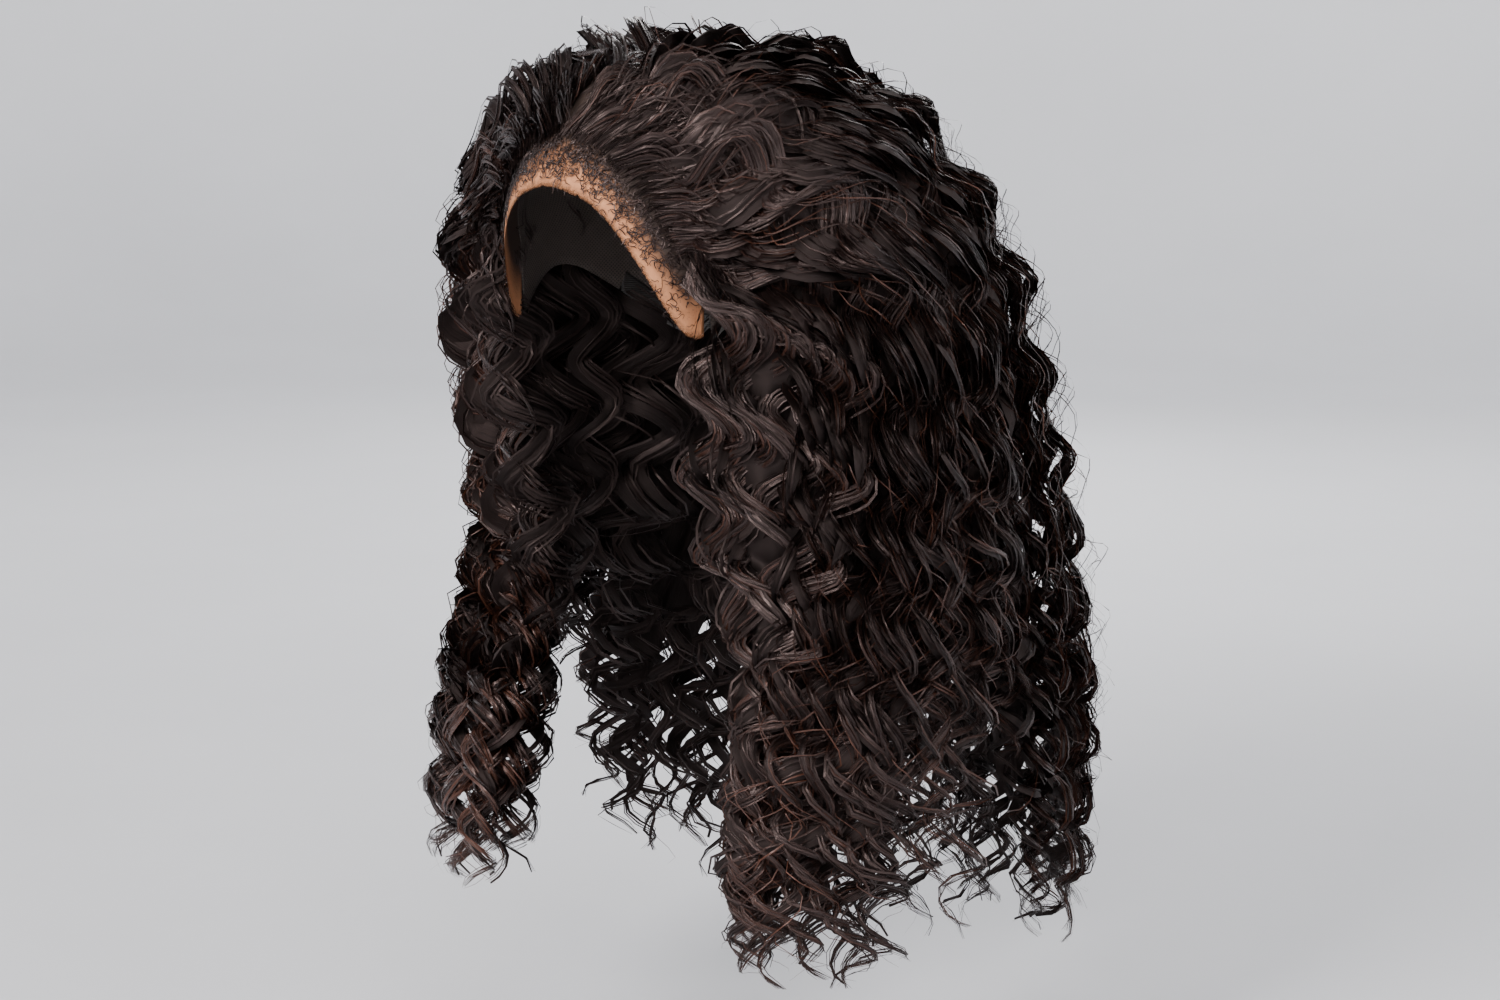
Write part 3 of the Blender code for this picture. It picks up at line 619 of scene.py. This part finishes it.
def lay_locks(random, base, start, depth, tip, samples=LOCK_SAMPLES, rise=0.055,
              longest=None, family=None):
    """Middle lines of locks. Base is the angle where a lock leaves the dome, start how far
    along the way from the hairline it is rooted, depth where it lies in the mass. Locks of
    one family lie side by side over the dome and part from each other below it."""
    family = np.arange(len(base)) if family is None else family
    base = np.asarray(base, float)
    side = np.where(base < 180.0, 1.0, -1.0)
    turned = fold(base)
    share = np.clip((turned - FRONT_HALF_ANGLE) / (180.0 - FRONT_HALF_ANGLE), 0.0, 1.0)
    root_angle = HAIRLINE_END * np.maximum(1.0 - share / HAIRLINE_SHARE, 0.0)
    root_flow = np.interp(root_angle, [row[0] for row in HAIRLINE],
                          [row[1] for row in HAIRLINE]) / 90.0 - 0.01
    root = root_flow[:, None] * np.stack([np.sin(np.radians(root_angle)),
                                          -np.cos(np.radians(root_angle))], axis=-1)
    behind = np.maximum(share - HAIRLINE_SHARE, 0.0) / (1.0 - HAIRLINE_SHARE)
    root[:, 1] += ROOTS_REACH_BACK * behind ** 0.9
    root[:, 0] += (random.uniform(*ROOT_SCATTER, len(base))[family]
                   * np.minimum(behind / 0.1, 1.0))
    leave = np.stack([np.sin(np.radians(turned)), -np.cos(np.radians(turned))], axis=-1)
    back = smooth_step(share, HAIRLINE_SHARE - 0.05, HAIRLINE_SHARE + 0.25)[:, None]
    drawn = unit((1.0 - back) * np.array(DRAWN_BACK) + back * leave)
    pull = np.interp(share, (0.0, HAIRLINE_SHARE), DRAWN_PULL)[:, None]
    turn_down = smooth_step(share, 0.0, HAIRLINE_SHARE)[:, None]
    turn_down = TURN_DOWN[0] + (TURN_DOWN[1] - TURN_DOWN[0]) * turn_down
    bezier = [root, root + pull * drawn, leave * (1.0 - turn_down), leave]
    step = np.linspace(0.0, 1.0, DOME_STEPS)[None, :, None]
    way = start[:, None, None] + (1.0 - start[:, None, None]) * step
    plan = ((1 - way) ** 3 * bezier[0][:, None] + 3 * (1 - way) ** 2 * way * bezier[1][:, None]
            + 3 * (1 - way) * way ** 2 * bezier[2][:, None] + way ** 3 * bezier[3][:, None])
    flow = np.minimum(np.linalg.norm(plan, axis=-1), 1.0)
    angle = np.degrees(np.arctan2(side[:, None] * plan[..., 0], -plan[..., 1]))
    fall = np.linspace(0.0, 1.0, FALL_STEPS + 1)[None, 1:] * tip[:, None]
    stray = LOCK_STRAY * slow_wander(random, len(base), FALL_STEPS, 1.6)
    stray = stray * np.minimum(fall / 0.3, 1.0)
    nearest = FRONT_HALF_ANGLE + 6.0 * np.minimum(fall / 0.5, 1.0)
    low_angle = np.clip(turned[:, None] + stray, nearest, 180.0 + 8.0) * side[:, None]
    angle = np.concatenate([angle, low_angle], axis=1)
    flow = np.concatenate([flow, 1.0 + fall], axis=1)
    inner, outer = hair_form(angle, flow)
    middle = 0.5 * (inner + outer)
    travelled = np.cumsum(np.linalg.norm(np.diff(middle, axis=1, prepend=middle[:, :1]),
                                         axis=-1), axis=1)
    wander = slow_wander(random, len(base), flow.shape[1], 2.5)[family]
    lying = depth[:, None] + DEPTH_WANDER * wander
    wander = slow_wander(random, len(base), flow.shape[1], 1.0)
    lying += FALL_DEPTH_WANDER * wander * np.clip((flow - 1.0) / 0.5, 0.0, 1.0)
    lying = np.minimum(lying, np.maximum(depth, 1.0)[:, None])
    lying = lying * smooth_step(travelled, -0.01, rise)
    around = np.exp(-((fold(angle) - FLAT_SPOT["angle"]) / FLAT_SPOT["spread"]) ** 2)
    around = around * np.exp(-((flow - FLAT_SPOT["flow"]) / FLAT_SPOT["reach"]) ** 2)
    lying = lying * (1.0 - FLAT_SPOT["depth"] * around)
    line = inner + (outer - inner) * lying[..., None]
    outward = unit(outer - inner)
    for _ in range(LINE_SMOOTHING):
        line[:, 1:-1] = 0.25 * (line[:, :-2] + 2 * line[:, 1:-1] + line[:, 2:])
        outward[:, 1:-1] = 0.25 * (outward[:, :-2] + 2 * outward[:, 1:-1] + outward[:, 2:])
    travelled = np.cumsum(np.linalg.norm(np.diff(line, axis=1, prepend=line[:, :1]),
                                         axis=-1), axis=1)
    even = np.linspace(0.0, 1.0, samples)
    home = travelled[:, DOME_STEPS - 1:DOME_STEPS]
    length = travelled[:, -1:]
    if longest is not None:
        length = np.minimum(length, longest[:, None])
    fine_line = np.empty((len(base), samples, 3))
    fine_out = np.empty_like(fine_line)
    fine_flow = np.empty((len(base), samples))
    for row in range(len(base)):
        at = even * length[row]
        fine_flow[row] = np.interp(at, travelled[row], flow[row])
        for axis in range(3):
            fine_line[row, :, axis] = np.interp(at, travelled[row], line[row, :, axis])
            fine_out[row, :, axis] = np.interp(at, travelled[row], outward[row, :, axis])
    along = unit(np.gradient(fine_line, axis=1))
    fine_out = square_to(fine_out, along)
    return {"line": fine_line, "along": along, "out": fine_out,
            "side": np.cross(along, fine_out), "flow": fine_flow,
            "travel": even * length, "length": length, "home": home}


def curl(locks, phase, size, depth_share):
    """Middle lines with their waves: sideways swings, and a swell outwards at each bend."""
    swing = (size * np.cos(phase))[..., None] * locks["side"]
    lift = size * (depth_share * np.sin(phase) + BEND_LIFT * np.cos(2.0 * phase))
    return locks["line"] + swing + lift[..., None] * locks["out"]


def lock_waves(random, locks, base, size=1.0, together=0.30, family=None):
    """Phase, size and depth share of each lock's waves, from root to tip."""
    rows = len(base)
    family = np.arange(rows) if family is None else family
    low = smooth_step(locks["flow"], 0.85, 1.7)
    wave = WAVE_LENGTH_TOP + (WAVE_LENGTH_LOW - WAVE_LENGTH_TOP) * low
    wave = wave * (1.0 + WAVE_SCATTER * random.normal(0.0, 1.0, (rows, 1))[family])
    step = np.diff(locks["travel"], axis=1, prepend=0.0)
    phase = np.cumsum(2 * np.pi * step / wave, axis=1)
    phase -= 2 * np.pi * locks["home"] / WAVE_LENGTH_TOP
    phase += (1.3 * np.sin(np.radians(base * 3.0)))[:, None]
    phase += random.normal(0.0, together, rows)[family][:, None]
    phase += 0.3 * slow_wander(random, rows, phase.shape[1], 2.0)[family]
    phase += low * random.normal(0.0, RINGLET_SCATTER, (rows, 1))
    phase += 0.7 * low * slow_wander(random, rows, phase.shape[1], 3.0)
    grow = smooth_step(locks["travel"], 0.0, WAVE_START)
    height = (WAVE_HEIGHT_TOP + (WAVE_HEIGHT_LOW - WAVE_HEIGHT_TOP) * low) * grow * size
    height = height * random.uniform(*WAVE_HEIGHT_SPREAD, (rows, 1))[family]
    height = height * (1.0 + 0.16 * slow_wander(random, rows, phase.shape[1], 3.0)[family])
    height = height * (1.0 + 0.25 * low * slow_wander(random, rows, phase.shape[1], 4.0))
    turning = np.where(random.random((rows, 1))[family] < USUAL_TURN_SHARE, 1.0, -1.0)
    return phase, height, WAVE_DEPTH_TOP * (1.0 - low) + WAVE_DEPTH_LOW * low * turning


def lock_frame(line, out):
    """Directions along a line, out from it and to its side."""
    along = unit(np.gradient(line, axis=-2))
    face = square_to(out, along)
    return along, face, np.cross(along, face)


def lock_bodies(locks, waves, width, tone, facing=1.0):
    """Body of each lock: an arched band of close hair, three points across."""
    phase, size, depth_share = waves
    line = curl(locks, phase, size, depth_share)
    along, face, beside = lock_frame(line, locks["out"])
    tilt = (BODY_TILT * np.sin(phase))[..., None]
    beside, face = (beside * np.cos(tilt) + face * np.sin(tilt),
                    face * np.cos(tilt) - beside * np.sin(tilt))
    places = np.array([-1.0, 0.0, 1.0])
    arch = BODY_ARCH * facing * (1.0 - places ** 2)
    points = (line[:, :, None] + 0.5 * width[..., None, None] * places[:, None]
              * beside[:, :, None] + width[..., None, None] * arch[:, None] * face[:, :, None])
    count, samples = phase.shape
    strip = grid_faces(samples, len(places))
    faces = strip[None] + (np.arange(count) * samples * len(places))[:, None, None]
    shift = np.arange(count)[:, None, None] * 0.0371
    lay = np.stack([0.5 * width[..., None] * places + shift,
                    locks["travel"][..., None] + shift * 7 + 0 * places], axis=-1)
    tones = np.broadcast_to(np.clip(tone, 0.0, 1.0)[:, None, None], lay.shape[:3])
    return points.reshape(-1, 3), faces.reshape(-1, 4), lay.reshape(-1, 2), tones.reshape(-1)


def lock_strands(random, locks, waves, width, each, tone, looseness=1.0, hair=HAIR_WIDTH,
                 facing=1.0):
    """Single strands that follow their lock, spread across and lifted off its body."""
    phase, size, depth_share = waves
    count, samples = phase.shape
    pick = np.repeat(np.arange(count), each)
    total = len(pick)
    place = random.uniform(-1.1, 1.1, (total, 1))
    loose = looseness * (0.15 + random.exponential(0.45, (total, 1)))
    loose = loose * (0.42 + 0.38 * smooth_step(locks["flow"][pick], 0.9, 1.6))
    phase_k = (phase[pick] + 0.35 * place
               + 0.50 * loose * slow_wander(random, total, samples, 3.0))
    size_k = size[pick] * (1.0 + 0.22 * loose * slow_wander(random, total, samples, 2.0))
    picked = {key: locks[key][pick] for key in ("line", "out", "side")}
    line = curl(picked, phase_k, size_k, depth_share[pick])
    along, face, beside = lock_frame(line, picked["out"])
    tilt = (STRAND_TILT * np.sin(phase[pick]))[..., None]
    spread_side = beside * np.cos(tilt) + face * np.sin(tilt)
    spread_face = face * np.cos(tilt) - beside * np.sin(tilt)
    where = place + 0.30 * loose * slow_wander(random, total, samples, 2.5)
    half = 0.5 * width[pick]
    arch = STRAND_ARCH * np.maximum(1.0 - where ** 2, -0.4) * half
    lift = 0.0003 + 0.0016 * random.random((total, 1)) * (0.5 + loose)
    line = (line + (half * where)[..., None] * spread_side
            + facing * (arch + lift)[..., None] * spread_face)
    return ribbons(random, line, picked["out"], hair, tone[pick])


def ribbons(random, line, out, hair, tone):
    """Flat ribbons along lines, a hair or two wide, pointed at the tip."""
    total, samples = line.shape[:2]
    along, face, beside = lock_frame(line, out)
    twist = (random.uniform(-0.6, 0.6, (total, 1))
             + 0.5 * slow_wander(random, total, samples, 3.0))[..., None]
    beside = beside * np.cos(twist) + face * np.sin(twist)
    travel = np.linspace(0.0, 1.0, samples)
    taper = np.minimum(np.minimum(0.35 + travel / 0.04, 1.0),
                       np.maximum((1.0 - travel) / 0.14, 0.0) ** 0.6 + 0.10)
    half = 0.5 * hair * np.minimum(taper, 1.0) * random.uniform(0.7, 1.25, (total, 1))
    points = np.stack([line - half[..., None] * beside, line + half[..., None] * beside], axis=2)
    strip = grid_faces(samples, 2)
    faces = (strip[None] + (np.arange(total) * samples * 2)[:, None, None]).reshape(-1, 4)
    distance = np.cumsum(np.linalg.norm(np.diff(line, axis=1, prepend=line[:, :1]), axis=-1),
                         axis=1)
    shift = np.arange(total)[:, None] * 0.0137
    lay = np.stack([np.stack([shift + 0 * distance, distance + shift], axis=-1),
                    np.stack([shift + hair + 0 * distance, distance + shift], axis=-1)], axis=2)
    tones = tone[:, None] + 0.09 * random.normal(0.0, 1.0, (total, 1))
    # Painted light: strands go lighter and warmer towards the tip, as light shining through thin
    # ends.
    tones = np.clip(tones + 0.13 * travel ** 2, 0.0, 1.0)
    tones = np.repeat(tones[..., None], 2, axis=2)
    return points.reshape(-1, 3), faces, lay.reshape(-1, 2), tones.reshape(-1)


def hair_mesh(name, parts, *nodes):
    """One piece of hair from several sets of points, faces, map and tones."""
    before = np.cumsum([0] + [len(part[0]) for part in parts])
    made = add_mesh(name, np.concatenate([part[0] for part in parts]),
                    np.concatenate([part[1] + shift for part, shift in zip(parts, before)]),
                    hair_finish, np.concatenate([part[2] for part in parts]),
                    np.concatenate([part[3] for part in parts]))
    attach(made, "root")
    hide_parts(*nodes)


def lock_width(locks, dome, low, root_share):
    """Width of each lock along its length, drawn to a point at the tip."""
    rest = locks["length"] - locks["travel"]
    grown = root_share + (1.0 - root_share) * smooth_step(locks["travel"], 0.0, 0.07)
    fallen = smooth_step(locks["flow"], 0.9, 1.6)
    end = 0.10 + 0.90 * smooth_step(rest, -0.01, 0.11)
    return (dome + (low - dome) * fallen) * grown * end


def fall_of_hair(name, seed, first, last, counts, nodes, ringlets=0, front_edge=None):
    """One part of the hair between two angles: inner, middle and outer locks, locks at every
    depth where it borders the front opening, long thin ringlets, and loose strands over it."""
    random = np.random.default_rng(seed)
    parts = []
    # Painted shade: the layers' tones step down from the outer locks to the inner ones, darker
    # the deeper they lie.
    layers = [
        {"count": counts[0], "side_by_side": 3, "between": (first, last), "lying": (0.84, 1.02),
         "rooted": (0.0, 0.60), "strands": 16, "width": (0.0085, 0.0070), "body": 0.60,
         "tone": 0.57, "samples": LOCK_SAMPLES, "facing": 1.0},
        {"count": counts[1], "side_by_side": 1, "between": (first, last), "lying": (0.70, 0.88),
         "rooted": (0.15, 0.60), "strands": 5, "width": (0.018, 0.0130), "body": 1.0,
         "tone": 0.42, "samples": 100, "facing": 1.0},
        {"count": counts[2], "side_by_side": 1, "between": (first, last), "lying": (0.02, 0.38),
         "rooted": (0.72, 0.98), "strands": 6, "width": (0.014, 0.0120), "body": 0.60,
         "tone": 0.30, "samples": 78, "facing": -1.0}]
    if front_edge:
        layers.append(
            {"count": 14, "side_by_side": 1, "between": front_edge, "lying": (0.10, 0.98),
             "rooted": (0.0, 0.30), "strands": 10, "width": (0.009, 0.0060), "body": 0.60,
             "tone": 0.57, "samples": 118, "facing": 1.0})
    for layer in layers:
        count = layer["count"]
        side_by_side = layer["side_by_side"]
        between = layer["between"]
        body = layer["body"]
        family = np.arange(count) // side_by_side
        families = family[-1] + 1
        spot = (np.arange(families) + random.uniform(0.25, 0.75, families)) / families
        beside = (np.arange(count) % side_by_side - 0.5 * (side_by_side - 1)) / side_by_side
        base = between[0] + (between[1] - between[0]) * (spot[family] + 0.62 * beside / families)
        base = np.clip(base, between[0] + 0.2, between[1] - 0.2)
        tip = tip_at(base) * random.uniform(0.92, 1.035, count)
        near, far = layer["lying"]
        depth = near + (far - near) * random.permutation(spot)[family]
        near, far = layer["rooted"]
        start = near + (far - near) * random.random(families)[family] ** 2
        locks = lay_locks(random, base, start, depth, tip, layer["samples"], family=family)
        if between == front_edge:
            forward = square_to(0.35 * locks["out"] + np.array([0.0, -1.0, 0.0]),
                                locks["along"])
            locks["out"] = forward
            locks["side"] = np.cross(locks["along"], forward)
        waves = lock_waves(random, locks, base, family=family)
        full = random.uniform(0.75, 1.30, (families, 1))[family]
        tones = (layer["tone"] + random.normal(0.0, 0.09, families))[family]
        width = lock_width(locks, *layer["width"], 0.15) * full
        # Painted shade: each body gets a tone well below its strands', darker still for a
        # full-width body, so that it reads as the shaded depth between them.
        parts.append(lock_bodies(locks, waves, width * body, tones - 0.20 - 0.14 * body,
                                 layer["facing"]))
        width = lock_width(locks, *layer["width"], 0.80) * full
        parts.append(lock_strands(random, locks, waves, width * 1.10, layer["strands"], tones,
                                  facing=layer["facing"]))
    if ringlets:
        base = random.uniform(first + 3.0, last - 3.0, ringlets)
        tip = random.uniform(0.72, 0.88, ringlets)
        locks = lay_locks(random, base, random.uniform(0.1, 0.4, ringlets),
                          random.uniform(0.70, 1.00, ringlets), tip)
        waves = lock_waves(random, locks, base, 1.1)
        tones = np.full(ringlets, 0.60)
        # Painted shade: the ringlet bodies are set darker than their strands.
        parts.append(lock_bodies(locks, waves, lock_width(locks, 0.010, 0.003, 0.2),
                                 tones - 0.26))
        parts.append(lock_strands(random, locks, waves, lock_width(locks, 0.012, 0.005, 0.5),
                                  6, tones, hair=0.0011))
    loose = int(1.1 * (last - first))
    base = random.uniform(first, last, loose)
    locks = lay_locks(random, base, random.uniform(0.0, 0.6, loose),
                      random.uniform(0.88, 1.06, loose), tip_at(base)
                      * random.uniform(0.55, 1.06, loose), 118)
    waves = lock_waves(random, locks, base, 1.10, 2.0)
    width = lock_width(locks, 0.010, 0.010, 0.5)
    # Painted light: the loose strands get a warm high tone, as light shining through single
    # hairs.
    parts.append(lock_strands(random, locks, waves, width, 1, np.full(loose, 0.74), 1.3,
                              LOOSE_HAIR_WIDTH))
    hair_mesh(name, parts, *nodes)


fall_of_hair("front_fall_left", 11, 56.0, 90.0, (15, 11, 10), ["hair_fall_left"],
             front_edge=(56.0, 62.0))
fall_of_hair("shoulder_fall_left", 12, 90.0, 120.0, (12, 10, 8), ["hair_side_left"], 5)
fall_of_hair("back_fall_left", 13, 120.0, 180.0, (24, 15, 13), ["hair_back"])
fall_of_hair("back_fall_right", 14, 180.0, 236.0, (21, 14, 13), ["hair_back"])
fall_of_hair("shoulder_fall_right", 15, 236.0, 262.0, (12, 9, 8), ["hair_side_right"], 4)
fall_of_hair("front_fall_right", 16, 262.0, 304.0, (15, 10, 10), ["hair_fall_right"],
             front_edge=(298.0, 304.0))


# Crown layers. Shorter waved locks sewn to the net over the top of the cap, which give the
# crown its height and fill in between the long locks.
CROWN_LOCKS = 64
CROWN_LENGTHS = (0.20, 0.34)

random = np.random.default_rng(21)
base = 56.0 + 248.0 * (np.arange(CROWN_LOCKS) + random.random(CROWN_LOCKS)) / CROWN_LOCKS
locks = lay_locks(random, base, random.uniform(0.02, 0.45, CROWN_LOCKS),
                  random.uniform(0.55, 0.84, CROWN_LOCKS), np.full(CROWN_LOCKS, 0.4), 60,
                  longest=random.uniform(*CROWN_LENGTHS, CROWN_LOCKS))
waves = lock_waves(random, locks, base)
tones = 0.48 + random.normal(0.0, 0.08, CROWN_LOCKS)
# Painted shade: the crown bodies are set darker than their strands.
hair_mesh("crown_layers", [
    lock_bodies(locks, waves, lock_width(locks, 0.017, 0.010, 0.15), tones - 0.20),
    lock_strands(random, locks, waves, lock_width(locks, 0.022, 0.013, 0.8), 8, tones)],
    "hair_crown")


# Hairline. Single hairs knotted into the lace, set ever closer towards the net, and drawn
# up and back into the locks behind them.
HAIRLINE_HAIRS = 850
HAIRLINE_HAIR_LENGTHS = (0.05, 0.12)
HAIRLINE_HAIR_WIDTH = 0.0008

random = np.random.default_rng(22)
at_hairline = random.uniform(-HAIRLINE_END, HAIRLINE_END, HAIRLINE_HAIRS)
share = HAIRLINE_SHARE * (1.0 - np.abs(at_hairline) / HAIRLINE_END)
base = np.where(at_hairline >= 0.0, 1.0, -1.0) * (FRONT_HALF_ANGLE + 124.0 * share) % 360.0
behind = random.exponential(0.035, HAIRLINE_HAIRS) - 0.035 * random.random(HAIRLINE_HAIRS)
locks = lay_locks(random, base, np.minimum(behind, 0.25),
                  random.uniform(0.10, 0.60, HAIRLINE_HAIRS), np.full(HAIRLINE_HAIRS, 0.3), 22,
                  rise=0.075, longest=random.uniform(*HAIRLINE_HAIR_LENGTHS, HAIRLINE_HAIRS))
waves = lock_waves(random, locks, base, 0.8, 0.9)
hair_mesh("hairline_hair", [
    lock_strands(random, locks, waves, np.full_like(waves[0], 0.004), 1,
                 np.full(HAIRLINE_HAIRS, 0.45), 1.0, HAIRLINE_HAIR_WIDTH)], "hair_hairline")


# Baby hairs. Short curly wisps knotted one by one into the front of the lace, where they
# lie close on it and soften its edge.
BABY_HAIRS = 800
BABY_HAIR_LENGTHS = (0.006, 0.020)
BABY_HAIR_WIDTH = 0.00055
BABY_HAIR_SAMPLES = 11
BABY_HAIR_CLEARANCE = 0.0004

random = np.random.default_rng(23)
angle = random.uniform(-60.0, 60.0, BABY_HAIRS)
front = edge_polar(CAP_RIM, angle)
behind = edge_polar(HAIRLINE, np.minimum(np.abs(angle), 56.0)) + 2.0
spot = random.random(BABY_HAIRS) ** 1.5
polar = behind + (front - behind - 1.5) * spot
travel = np.linspace(0.0, 1.0, BABY_HAIR_SAMPLES)
length = random.uniform(*BABY_HAIR_LENGTHS, BABY_HAIRS) * (1.25 - 0.6 * spot)
heading = random.normal(0.0, 0.9, (BABY_HAIRS, 1)) + np.sign(angle)[:, None] * 0.5
heading = heading + random.normal(0.0, 2.4, (BABY_HAIRS, 1)) * travel
heading = heading + 0.9 * np.sin(travel * random.uniform(5.0, 14.0, (BABY_HAIRS, 1)))
step = length[:, None] / (BABY_HAIR_SAMPLES - 1)
move_side = np.cumsum(np.sin(heading) * step, axis=1)
move_back = np.cumsum(np.cos(heading) * step, axis=1)
around = angle[:, None] + np.degrees(move_side / 0.088)
tilt = polar[:, None] - np.degrees(move_back / CROWN_DEPTH)
proud = (LACE_WALL + BABY_HAIR_CLEARANCE
         + 0.0016 * np.sin(np.pi * travel) * random.random((BABY_HAIRS, 1)))
line = cap_form(around, tilt, proud)
out = cap_form(around, tilt, proud + 0.01) - line
hair_mesh("baby_hairs", [ribbons(random, line, out, BABY_HAIR_WIDTH,
                                 np.full(BABY_HAIRS, 0.42))], "hair_hairline")
